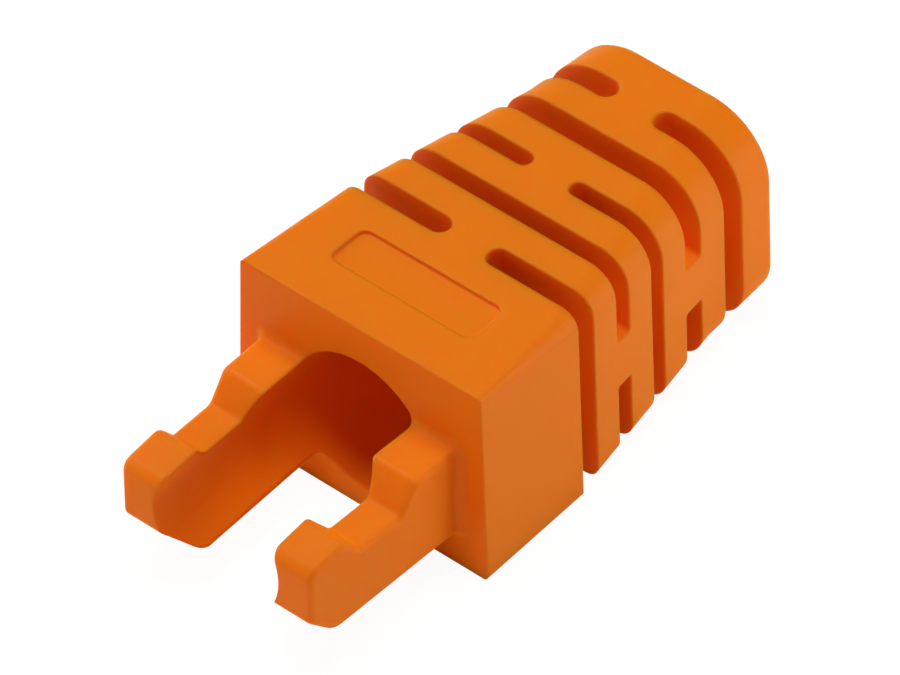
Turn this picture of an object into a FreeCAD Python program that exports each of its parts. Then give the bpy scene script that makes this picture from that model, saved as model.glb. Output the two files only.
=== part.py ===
import FreeCAD, Part
import math
import os

# Strain relief boot for a modular plug, moulded in one piece from soft plastic.
# X is its width, Y runs from the prongs at -Y to the cable end at +Y, and Z is up.
# Lengths are millimetres and angles are degrees.
# While it is shaped, y = 0 is the front face of the head and z = 0 is its underside.
# The finished boot is then moved so that its footprint is centred on the origin.

# Cable bore, running right through on one straight axis
bore_radius = 3.15
bore_height = 4.2

# Head, the plain block that butts against the plug
head_depth = 5.6
head_height = 9.0
head_width = 12.0
head_side_draft = 1.75
head_rear_inset = 0.15
head_front_corner = 0.15
head_rear_corner = 0.8
head_lower_corner = 0.2

# Label recess in the top of the head
recess_width = 6.75
recess_length = 2.0
recess_rear_margin = 1.44
recess_depth = 0.15
recess_corner = 0.4

# Prongs, which reach forward on each side of the plug's cable entry
prong_length = 8.0
prong_outer_width = 9.42
prong_tip_inset = 0.16
prong_underside = 1.75
prong_root_height = 5.95
prong_root_length = 2.3
prong_saddle_height = 4.77
prong_saddle_length = 2.05
prong_step_run = 0.84
prong_bump_height = 5.7
prong_bump_run = 0.8
prong_brow_drop = 0.17
prong_heel_run = 1.25
prong_heel_rise = 1.25
prong_heel_radius = 0.9
prong_brow_radius = 0.55
prong_bend_radius = 0.35
prong_rim_radius = 0.25
prong_root_fillet = 0.4

# Tail, a tapering sleeve that the slots turn into a spring
tail_end_length = 1.86
tail_start_width = 11.44
tail_end_width = 9.38
tail_start_corner = 0.8
tail_end_corner = 2.9
tail_start_lower_corner = 0.5
tail_end_lower_corner = 1.9
tail_belly_rise = 0.3
tail_rim_radius = 0.4

# Slots from the head backwards, with one rib between each slot and the next
slot_widths = (0.98, 0.85, 0.78, 1.04, 1.03)
rib_thickness = 1.45
top_bridge_width = 1.86
side_bridge_height = 2.15
side_bridge_centre = 4.57
bridge_corner = 0.15

# How far a solid stands past the surface that it opens or joins
overrun = 1.0

# Two faces that fold by more than this meet in an edge that is rounded
least_fold = 25.0

# Largest distance between points that count as touching
touch_limit = 0.001

part_name = "boot"


def vector(x, y, z):
    return FreeCAD.Vector(x, y, z)


def middle_of(edge):
    return edge.valueAt((edge.FirstParameter + edge.LastParameter) / 2)


# The angle by which the faces on each side of an edge turn away from each other
def fold_at(shape, edge):
    point = middle_of(edge)
    normals = []
    for face in shape.ancestorsOfType(edge, Part.Face):
        normals.append(face.normalAt(*face.Surface.parameter(point)))
    if len(normals) < 2:
        return 0.0
    return math.degrees(normals[0].getAngle(normals[1]))


# Arcs and lines in turn, round a closed outline whose corners each have their own radius
def rounded_edges(corners, radii):
    entries = []
    exits = []
    arcs = []
    for index, corner in enumerate(corners):
        before = (corners[index - 1] - corner).normalize()
        after = (corners[(index + 1) % len(corners)] - corner).normalize()
        half_angle = before.getAngle(after) / 2
        reach = radii[index] / math.tan(half_angle)
        entries.append(corner + before * reach)
        exits.append(corner + after * reach)
        if radii[index] > 0:
            inward = (before + after).normalize()
            sagitta = radii[index] / math.sin(half_angle) - radii[index]
            arc = Part.Arc(entries[-1], corner + inward * sagitta, exits[-1])
            arcs.append([arc.toShape()])
        else:
            arcs.append([])
    outline = []
    for index in range(len(corners)):
        following = (index + 1) % len(corners)
        outline.extend(arcs[index])
        outline.append(Part.makeLine(exits[index], entries[following]))
    return outline


def rounded_face(corners, radii):
    return Part.Face(Part.Wire(rounded_edges(corners, radii)))


def flat_face(corners):
    return Part.Face(Part.makePolygon(corners + corners[:1]))


# The four-sided outline of head or tail at one station along Y
def sleeve_section(y, mid_half_width, underside, upper_corner, lower_corner):
    middle = head_height / 2
    lean = math.tan(math.radians(head_side_draft))
    low = mid_half_width + lean * (middle - underside)
    high = mid_half_width - lean * (head_height - middle)
    corners = [
        vector(-low, y, underside),
        vector(-high, y, head_height),
        vector(high, y, head_height),
        vector(low, y, underside),
    ]
    return rounded_edges(corners, [lower_corner, upper_corner, upper_corner, lower_corner])


# A solid through outlines, flat between their lines and ruled between their arcs
def skin_over(outlines):
    faces = [Part.Face(Part.Wire(outlines[0])), Part.Face(Part.Wire(outlines[-1]))]
    for front, rear in zip(outlines, outlines[1:]):
        for near, far in zip(front, rear):
            if isinstance(near.Curve, Part.Line):
                start, end = [vertex.Point for vertex in near.Vertexes]
                far_start, far_end = [vertex.Point for vertex in far.Vertexes]
                faces.append(flat_face([start, end, far_end, far_start]))
            else:
                faces.append(Part.makeRuledSurface(near, far))
    shell = Part.makeShell(faces)
    shell.sewShape()
    return Part.makeSolid(shell)


def make_head():
    lean = math.tan(math.radians(head_side_draft))
    front_half = head_width / 2 - lean * head_height / 2
    rear_half = front_half - head_rear_inset
    front = sleeve_section(0, front_half, 0, head_front_corner, head_lower_corner)
    rear = sleeve_section(head_depth, rear_half, 0, head_rear_corner, head_lower_corner)
    return skin_over([front, rear])


# Distance from the head to the front wall of a slot
def slot_start(index):
    return sum(slot_widths[:index]) + rib_thickness * index


def tail_length():
    return slot_start(len(slot_widths)) - rib_thickness + tail_end_length


# The tail tapers in width as far as the middle of its last rib and is parallel from there
def make_tail():
    taper_length = slot_start(len(slot_widths) - 1) - rib_thickness / 2
    stations = (
        (0, tail_start_width),
        (taper_length, tail_end_width),
        (tail_length(), tail_end_width),
    )
    sections = []
    for distance, width in stations:
        share = distance / tail_length()
        upper = tail_start_corner + (tail_end_corner - tail_start_corner) * share
        lower_growth = tail_end_lower_corner - tail_start_lower_corner
        lower = tail_start_lower_corner + lower_growth * share
        underside = tail_belly_rise * share
        sections.append(sleeve_section(head_depth + distance, width / 2, underside, upper, lower))
    return skin_over(sections)


# Head and tail in one, with a rounded rim at the cable end
def make_sleeve():
    sleeve = make_head().fuse(make_tail()).removeSplitter()
    length = head_depth + tail_length()
    end_rim = [edge for edge in sleeve.Edges if edge.BoundBox.YMin > length - touch_limit]
    return sleeve.makeFillet(tail_rim_radius, end_rim)


# A slot down each side, which leaves a bridge with round ends along the top and bottom
def side_slots(y, width):
    radius = width / 2
    start = top_bridge_width / 2 + radius
    reach = head_width / 2 + overrun - start
    height = head_height + 2 * overrun
    tools = []
    for side in (-1, 1):
        corner = min(side * start, side * (start + reach))
        arm = Part.makeBox(reach, width, height, vector(corner, y, -overrun))
        end = Part.makeCylinder(radius, height, vector(side * start, y + radius, -overrun))
        tools.append(arm.fuse(end).removeSplitter())
    return tools


# A slot over the top and one under the belly, which leave a square bridge on each side
def cross_slots(y, width):
    half_span = head_width / 2 + overrun
    bridge_half = side_bridge_height / 2
    tools = []
    for floor, open_end in (
        (side_bridge_centre + bridge_half, head_height + overrun),
        (side_bridge_centre - bridge_half, -overrun),
    ):
        corners = [
            vector(-half_span, y, floor),
            vector(-half_span, y + width, floor),
            vector(-half_span, y + width, open_end),
            vector(-half_span, y, open_end),
        ]
        profile = rounded_face(corners, [bridge_corner, bridge_corner, 0, 0])
        tools.append(profile.extrude(vector(2 * half_span, 0, 0)))
    return tools


# Slots of the two kinds take turns, starting with a slot down each side
def cut_slots(sleeve):
    tools = []
    for index, width in enumerate(slot_widths):
        make_pair = side_slots if index % 2 == 0 else cross_slots
        tools.extend(make_pair(head_depth + slot_start(index), width))
    return sleeve.cut(tools)


def cut_recess(sleeve):
    half = recess_width / 2
    rear = head_depth - recess_rear_margin
    front = rear - recess_length
    floor = head_height - recess_depth
    corners = [
        vector(-half, front, floor),
        vector(-half, rear, floor),
        vector(half, rear, floor),
        vector(half, front, floor),
    ]
    face = rounded_face(corners, [recess_corner] * len(corners))
    return sleeve.cut(face.extrude(vector(0, 0, recess_depth + overrun)))


# Side profile of a prong, from its root inside the head round to the nose and back
def prong_profile():
    step_foot = -prong_root_length - prong_step_run
    saddle_front = step_foot - prong_saddle_length
    bump_top = saddle_front - prong_bump_run
    corners = [
        vector(0, overrun, prong_underside),
        vector(0, overrun, prong_root_height),
        vector(0, -prong_root_length, prong_root_height),
        vector(0, step_foot, prong_saddle_height),
        vector(0, saddle_front, prong_saddle_height),
        vector(0, bump_top, prong_bump_height),
        vector(0, -prong_length, prong_bump_height - prong_brow_drop),
        vector(0, -prong_length, prong_underside + prong_heel_rise),
        vector(0, -prong_length + prong_heel_run, prong_underside),
    ]
    bend = prong_bend_radius
    radii = [0, 0, bend, bend, bend, bend, prong_brow_radius, bend, prong_heel_radius]
    return rounded_face(corners, radii)


# Both prongs as one tongue across the width, with soft rims, which the bore will part
def make_tongue():
    half = prong_outer_width / 2
    tip_half = half - prong_tip_inset
    root_half = half + prong_tip_inset * overrun / prong_length
    band = prong_profile()
    band.translate(vector(-head_width, 0, 0))
    band = band.extrude(vector(2 * head_width, 0, 0))
    plan = [
        vector(-root_half, overrun, 0),
        vector(-tip_half, -prong_length, 0),
        vector(tip_half, -prong_length, 0),
        vector(root_half, overrun, 0),
    ]
    tongue = band.common(flat_face(plan).extrude(vector(0, 0, head_height)))
    rim = []
    for edge in tongue.Edges:
        if middle_of(edge).y < overrun - touch_limit and fold_at(tongue, edge) > least_fold:
            rim.append(edge)
    return tongue.makeFillet(prong_rim_radius, rim)


# The tongue joined to the head, with a fillet round its root
def add_tongue(sleeve):
    body = sleeve.fuse(make_tongue())
    root = []
    for edge in body.Edges:
        point = middle_of(edge)
        inside = abs(point.x) < prong_outer_width / 2 + touch_limit
        low = point.z > prong_underside - touch_limit
        high = point.z < prong_root_height + touch_limit
        if abs(point.y) < touch_limit and inside and low and high:
            root.append(edge)
    return body.makeFillet(prong_root_fillet, root)


# The bore runs right through and narrows a little between the prongs
def cut_bore(body):
    length = head_depth + tail_length() + overrun
    bore = Part.makeCylinder(bore_radius, length, vector(0, 0, bore_height), vector(0, 1, 0))
    throat_length = prong_length + overrun
    throat_end = bore_radius - prong_tip_inset * throat_length / prong_length
    throat = Part.makeCone(
        throat_end,
        bore_radius,
        throat_length,
        vector(0, -throat_length, bore_height),
        vector(0, 1, 0),
    )
    return body.cut([bore, throat])


def make_boot():
    sleeve = cut_recess(cut_slots(make_sleeve()))
    boot = cut_bore(add_tongue(sleeve))
    overall_middle = (head_depth + tail_length() - prong_length) / 2
    boot.translate(vector(0, -overall_middle, 0))
    return boot


boot = make_boot()
os.makedirs("parts", exist_ok=True)
boot.exportStep("parts/" + part_name + ".step")
box = boot.BoundBox
print(part_name, "valid", boot.isValid(), "solids", len(boot.Solids))
print("size", round(box.XLength, 3), round(box.YLength, 3), round(box.ZLength, 3))
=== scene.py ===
import logging
import math
from dataclasses import dataclass, field
from enum import Enum

import bmesh
import bpy
from mathutils import Matrix, Vector


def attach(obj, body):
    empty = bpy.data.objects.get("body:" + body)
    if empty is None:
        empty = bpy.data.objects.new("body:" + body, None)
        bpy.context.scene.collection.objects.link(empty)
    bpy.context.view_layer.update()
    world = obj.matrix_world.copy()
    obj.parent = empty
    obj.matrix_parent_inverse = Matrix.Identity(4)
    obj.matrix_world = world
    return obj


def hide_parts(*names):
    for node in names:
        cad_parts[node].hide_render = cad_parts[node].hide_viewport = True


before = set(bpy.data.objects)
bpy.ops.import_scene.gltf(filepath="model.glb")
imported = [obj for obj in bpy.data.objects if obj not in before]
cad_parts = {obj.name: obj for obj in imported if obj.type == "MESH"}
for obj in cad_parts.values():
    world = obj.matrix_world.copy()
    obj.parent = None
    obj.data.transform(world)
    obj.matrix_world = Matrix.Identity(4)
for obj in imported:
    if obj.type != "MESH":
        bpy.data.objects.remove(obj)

log = logging.getLogger("boot")

MM = 0.001
"""Metres in one millimetre."""

"""Where the boxes of the solid and of the dressed boot are written."""

WHITE = "#FFFFFF"

MIX_SHARE, MIX_FIRST, MIX_SECOND, MIX_RESULT = 0, 6, 7, 2
"""Socket numbers of a Mix node that blends two colours."""


class LampRole(Enum):
    """What each lamp does for the picture."""

    TOP = "top"
    TOP_LEFT = "top_left"
    LEFT = "left"
    BACK_RIGHT = "back_right"
    FRONT = "front"


def linear(colour: str) -> tuple[float, float, float, float]:
    """Turn an sRGB hex colour into the linear colour that shaders take.

    Args:
        colour: Six hex digits after a hash sign.

    Returns:
        Red, green, blue and an alpha of 1.
    """
    parts = [int(colour[i : i + 2], 16) / 255 for i in (1, 3, 5)]
    bent = [p / 12.92 if p <= 0.04045 else ((p + 0.055) / 1.055) ** 2.4 for p in parts]
    return bent[0], bent[1], bent[2], 1.0


def add_node(tree: bpy.types.NodeTree, kind: str, settings: dict, links: dict) -> bpy.types.Node:
    """Add one node to a tree.

    Args:
        tree: The tree that gets the node.
        kind: The node's type name.
        settings: Attribute names and their values.
        links: Input names or numbers, each with a value or with an output socket.

    Returns:
        The new node.
    """
    node = tree.nodes.new(kind)
    for name, value in settings.items():
        setattr(node, name, value)
    for name, value in links.items():
        if isinstance(value, bpy.types.NodeSocket):
            tree.links.new(value, node.inputs[name])
        else:
            node.inputs[name].default_value = value
    return node


@dataclass(frozen=True)
class MouldedVinyl:
    """Soft PVC as it comes from an injection mould.

    It is dyed right through, so light that enters it comes out warm and red in the slots.
    The spark-eroded mould leaves a fine grain and a satin gloss, and soft plastic has no
    sharp edges, which gives each slot a narrow shaded rim.
    """

    name: str = "moulded_soft_pvc"
    dye: str = "#FA8111"
    dye_pale: str = "#FC8715"
    roughness: float = 0.45
    roughness_spread: float = 0.05
    ior: float = 1.53
    specular: float = 0.1
    glow_weight: float = 0.6
    glow_mm: float = 1.5
    glow_tint: tuple[float, float, float] = (1.0, 0.1, 0.05)

    # Slow drift of the dye, as the melt flowed
    flow_mm: float = 5.0
    flow_detail: float = 2.0
    flow_roughness: float = 0.5

    # The real grain is about 0.04 mm, drawn coarser here so that it can show
    grain_mm: float = 0.12
    grain_detail: float = 3.0
    grain_roughness: float = 0.6
    grain_depth_mm: float = 0.004

    edge_radius_mm: float = 0.19
    edge_samples: int = 8

    def build(self) -> bpy.types.Material:
        """Make the material.

        Returns:
            A node material whose patterns read Object coordinates.
        """
        material = bpy.data.materials.new(self.name)
        material.use_nodes = True
        tree = material.node_tree
        tree.nodes.clear()
        place = add_node(tree, "ShaderNodeTexCoord", {}, {}).outputs["Object"]
        flow = add_node(
            tree, "ShaderNodeTexNoise", {},
            {
                "Vector": place,
                "Scale": 1 / (self.flow_mm * MM),
                "Detail": self.flow_detail,
                "Roughness": self.flow_roughness,
            },
        )
        tone = add_node(
            tree, "ShaderNodeMix", {"data_type": "RGBA"},
            {
                MIX_SHARE: flow.outputs["Fac"],
                MIX_FIRST: linear(self.dye),
                MIX_SECOND: linear(self.dye_pale),
            },
        )
        grain = add_node(
            tree, "ShaderNodeTexNoise", {},
            {
                "Vector": place,
                "Scale": 1 / (self.grain_mm * MM),
                "Detail": self.grain_detail,
                "Roughness": self.grain_roughness,
            },
        )
        gloss = add_node(
            tree, "ShaderNodeMapRange", {},
            {
                "Value": grain.outputs["Fac"],
                "To Min": self.roughness - self.roughness_spread,
                "To Max": self.roughness + self.roughness_spread,
            },
        )
        soft_edge = add_node(
            tree, "ShaderNodeBevel", {"samples": self.edge_samples},
            {"Radius": self.edge_radius_mm * MM},
        )
        bump = add_node(
            tree, "ShaderNodeBump", {},
            {
                "Height": grain.outputs["Fac"],
                "Distance": self.grain_depth_mm * MM,
                "Strength": 1.0,
                "Normal": soft_edge.outputs["Normal"],
            },
        )
        shader = add_node(
            tree, "ShaderNodeBsdfPrincipled", {"subsurface_method": "RANDOM_WALK"},
            {
                "Base Color": tone.outputs[MIX_RESULT],
                "Roughness": gloss.outputs["Result"],
                "Normal": bump.outputs["Normal"],
                "IOR": self.ior,
                "Specular IOR Level": self.specular,
                "Subsurface Weight": self.glow_weight,
                "Subsurface Radius": self.glow_tint,
                "Subsurface Scale": self.glow_mm * MM,
            },
        )
        add_node(tree, "ShaderNodeOutputMaterial", {}, {"Surface": shader.outputs["BSDF"]})
        return material


@dataclass
class BootMoulding:
    """The whole boot, which is one moulding."""

    node: str = "boot"
    name: str = "boot_moulding"
    weld_mm: float = 0.002
    flat_deg: float = 0.5
    crease_deg: float = 28.0
    evenness: int = 50
    finish: MouldedVinyl = field(default_factory=MouldedVinyl)

    def welded_copy(self) -> bpy.types.Object:
        """Copy the solid's mesh and weld its loose triangles.

        Returns:
            A new object whose flat faces are whole, whose curves are shaded smooth, whose
            folds are sharp and whose shape is the solid's.
        """
        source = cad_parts[self.node]
        mesh = source.data.copy()
        mesh.name = self.name
        mesh.materials.clear()
        form = bmesh.new()
        form.from_mesh(mesh)
        bmesh.ops.remove_doubles(form, verts=form.verts, dist=self.weld_mm * MM)
        bmesh.ops.dissolve_limit(
            form, angle_limit=math.radians(self.flat_deg), use_dissolve_boundaries=False,
            verts=form.verts, edges=form.edges,
        )
        crease = math.radians(self.crease_deg)
        for face in form.faces:
            face.smooth = True
        for edge in form.edges:
            edge.smooth = edge.calc_face_angle(math.pi) < crease
        form.to_mesh(mesh)
        form.free()
        moulding = bpy.data.objects.new(self.name, mesh)
        bpy.context.collection.objects.link(moulding)
        return moulding

    def even_out(self, moulding: bpy.types.Object) -> None:
        """Shade the large flat faces evenly up to the curves beside them.

        Args:
            moulding: The welded copy.
        """
        flats = moulding.modifiers.new("even_flats", "WEIGHTED_NORMAL")
        flats.mode = "FACE_AREA"
        flats.weight = self.evenness
        flats.keep_sharp = True

    def build(self) -> bpy.types.Object:
        """Make the boot and dress it.

        Returns:
            The object that stands for the solid.
        """
        moulding = self.welded_copy()
        self.even_out(moulding)
        moulding.data.materials.append(self.finish.build())
        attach(moulding, "root")
        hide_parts(self.node)
        return moulding


@dataclass(frozen=True)
class PictureCamera:
    """A long lens above the front right, as the picture was taken."""

    azimuth_deg: float = 41.108
    elevation_deg: float = 44.124
    roll_deg: float = -0.771
    distance_mm: float = 390.4
    pixels_per_mm: float = 27.175
    picture_width: int = 900
    sensor_mm: float = 36.0
    aim_mm: tuple[float, float, float] = (0.0, 4.03, 4.3)
    shift_right_mm: float = -2.633
    shift_up_mm: float = -1.704
    nearest_mm: float = 10.0
    farthest_mm: float = 10000.0

    def build(self) -> bpy.types.Object:
        """Make the camera and set it as the scene's.

        Returns:
            The camera object.
        """
        azimuth = math.radians(self.azimuth_deg)
        elevation = math.radians(self.elevation_deg)
        roll = math.radians(self.roll_deg)
        back = Vector(
            (
                math.sin(azimuth) * math.cos(elevation),
                -math.cos(azimuth) * math.cos(elevation),
                math.sin(elevation),
            )
        )
        level = Vector((math.cos(azimuth), math.sin(azimuth), 0.0))
        upright = back.cross(level)
        right = level * math.cos(roll) + upright * math.sin(roll)
        up = upright * math.cos(roll) - level * math.sin(roll)
        place = Vector(self.aim_mm) + right * self.shift_right_mm + up * self.shift_up_mm
        place += back * self.distance_mm
        data = bpy.data.cameras.new("picture_camera")
        data.sensor_width = self.sensor_mm
        data.lens = self.sensor_mm * self.pixels_per_mm * self.distance_mm / self.picture_width
        data.clip_start = self.nearest_mm * MM
        data.clip_end = self.farthest_mm * MM
        camera = bpy.data.objects.new("picture_camera", data)
        camera.matrix_world = Matrix.Translation(place * MM) @ Matrix(
            (
                (right.x, up.x, back.x, 0),
                (right.y, up.y, back.y, 0),
                (right.z, up.z, back.z, 0),
                (0, 0, 0, 1),
            )
        )
        bpy.context.collection.objects.link(camera)
        bpy.context.scene.camera = camera
        return camera


@dataclass(frozen=True)
class Lamp:
    """A square soft box that faces the boot.

    Its level is how bright a white matt face that looks straight at it shows, where 1 is
    white, so the level holds at any distance.
    """

    role: LampRole
    place_mm: tuple[float, float, float]
    level: float
    size_mm: float = 260.0
    colour: str = WHITE

    def build(self) -> bpy.types.Object:
        """Make the lamp.

        Returns:
            The lamp object, which sits at its place and faces the boot.
        """
        data = bpy.data.lights.new(f"{self.role.value}_lamp", "AREA")
        data.shape = "SQUARE"
        data.size = self.size_mm * MM
        place = Vector(self.place_mm) * MM
        data.energy = self.level * math.pi**2 * place.length_squared
        data.color = linear(self.colour)[:3]
        lamp = bpy.data.objects.new(f"{self.role.value}_lamp", data)
        lamp.location = place
        lamp.rotation_mode = "QUATERNION"
        lamp.rotation_quaternion = (-place).to_track_quat("-Z", "Y")
        bpy.context.collection.objects.link(lamp)
        return lamp


@dataclass
class Studio:
    """A white table, soft lamps and a white surround.

    The table shows as pure white but for a faint shadow, and sends a slightly warm light
    back to the boot.
    """

    floor_mm: float = 1200.0
    floor_seen: str = WHITE
    floor_bounce: str = "#FFF6E4"
    floor_glow: float = 1.06
    shadow_left: float = 0.11
    lamps: tuple[Lamp, ...] = (
        Lamp(LampRole.TOP, (0.0, 10.0, 400.0), 0.465, size_mm=190.0),
        Lamp(LampRole.TOP_LEFT, (-260.0, 0.0, 300.0), 0.29),
        Lamp(LampRole.LEFT, (-400.0, 0.0, 90.0), 0.35),
        Lamp(LampRole.BACK_RIGHT, (62.0, 41.0, 18.0), 0.41, size_mm=50.0),
        Lamp(LampRole.FRONT, (0.0, -390.0, 100.0), 0.23, colour="#FFD4B6"),
    )

    def floor_material(self) -> bpy.types.Material:
        """Make the table's white, which the camera sees as nearly even.

        Returns:
            A white diffuse material that keeps a faint shadow.
        """
        material = bpy.data.materials.new("white_table")
        material.use_nodes = True
        tree = material.node_tree
        tree.nodes.clear()
        path = add_node(tree, "ShaderNodeLightPath", {}, {})
        white = linear(self.floor_seen)
        tone = add_node(
            tree, "ShaderNodeMix", {"data_type": "RGBA"},
            {
                MIX_SHARE: path.outputs["Is Camera Ray"],
                MIX_FIRST: linear(self.floor_bounce),
                MIX_SECOND: white,
            },
        )
        paper = add_node(tree, "ShaderNodeBsdfDiffuse", {}, {"Color": tone.outputs[MIX_RESULT]})
        glow = add_node(
            tree, "ShaderNodeEmission", {}, {"Color": white, "Strength": self.floor_glow},
        )
        share = add_node(
            tree, "ShaderNodeMath", {"operation": "MULTIPLY"},
            {0: path.outputs["Is Camera Ray"], 1: 1 - self.shadow_left},
        )
        mixed = add_node(
            tree, "ShaderNodeMixShader", {},
            {0: share.outputs[0], 1: paper.outputs[0], 2: glow.outputs[0]},
        )
        add_node(tree, "ShaderNodeOutputMaterial", {}, {"Surface": mixed.outputs[0]})
        return material

    def build_floor(self) -> bpy.types.Object:
        """Make the table that the boot lies on.

        Returns:
            A flat square just under the boot.
        """
        half = self.floor_mm / 2 * MM
        mesh = bpy.data.meshes.new("table")
        outline = [(-half, -half, 0), (half, -half, 0), (half, half, 0), (-half, half, 0)]
        mesh.from_pydata(outline, [], [(0, 1, 2, 3)])
        mesh.materials.append(self.floor_material())
        table = bpy.data.objects.new("table", mesh)
        bpy.context.collection.objects.link(table)
        return table

    def build_surround(self) -> None:
        """Show the surround as white without any light from it on the boot."""
        world = bpy.data.worlds.new("surround")
        world.use_nodes = True
        tree = world.node_tree
        tree.nodes.clear()
        path = add_node(tree, "ShaderNodeLightPath", {}, {})
        seen = add_node(
            tree, "ShaderNodeMath", {"operation": "MAXIMUM"},
            {0: path.outputs["Is Camera Ray"], 1: path.outputs["Is Transmission Ray"]},
        )
        white = add_node(
            tree, "ShaderNodeBackground", {},
            {"Color": linear(WHITE), "Strength": seen.outputs[0]},
        )
        add_node(tree, "ShaderNodeOutputWorld", {}, {"Surface": white.outputs[0]})
        bpy.context.scene.world = world

    def build(self) -> None:
        """Set the table, the surround and every lamp."""
        self.build_floor()
        self.build_surround()
        for lamp in self.lamps:
            lamp.build()
            log.info("%s lamp at level %.2f", lamp.role.value, lamp.level)


def main() -> None:
    """Build the boot, the studio and the camera."""
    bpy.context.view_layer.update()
    logging.basicConfig(level=logging.INFO)
    bpy.context.scene.view_settings.view_transform = "Standard"
    moulding = BootMoulding().build()
    log.info("%s has %d faces", moulding.name, len(moulding.data.polygons))
    Studio().build()
    PictureCamera().build()


if __name__ == "__main__":
    main()
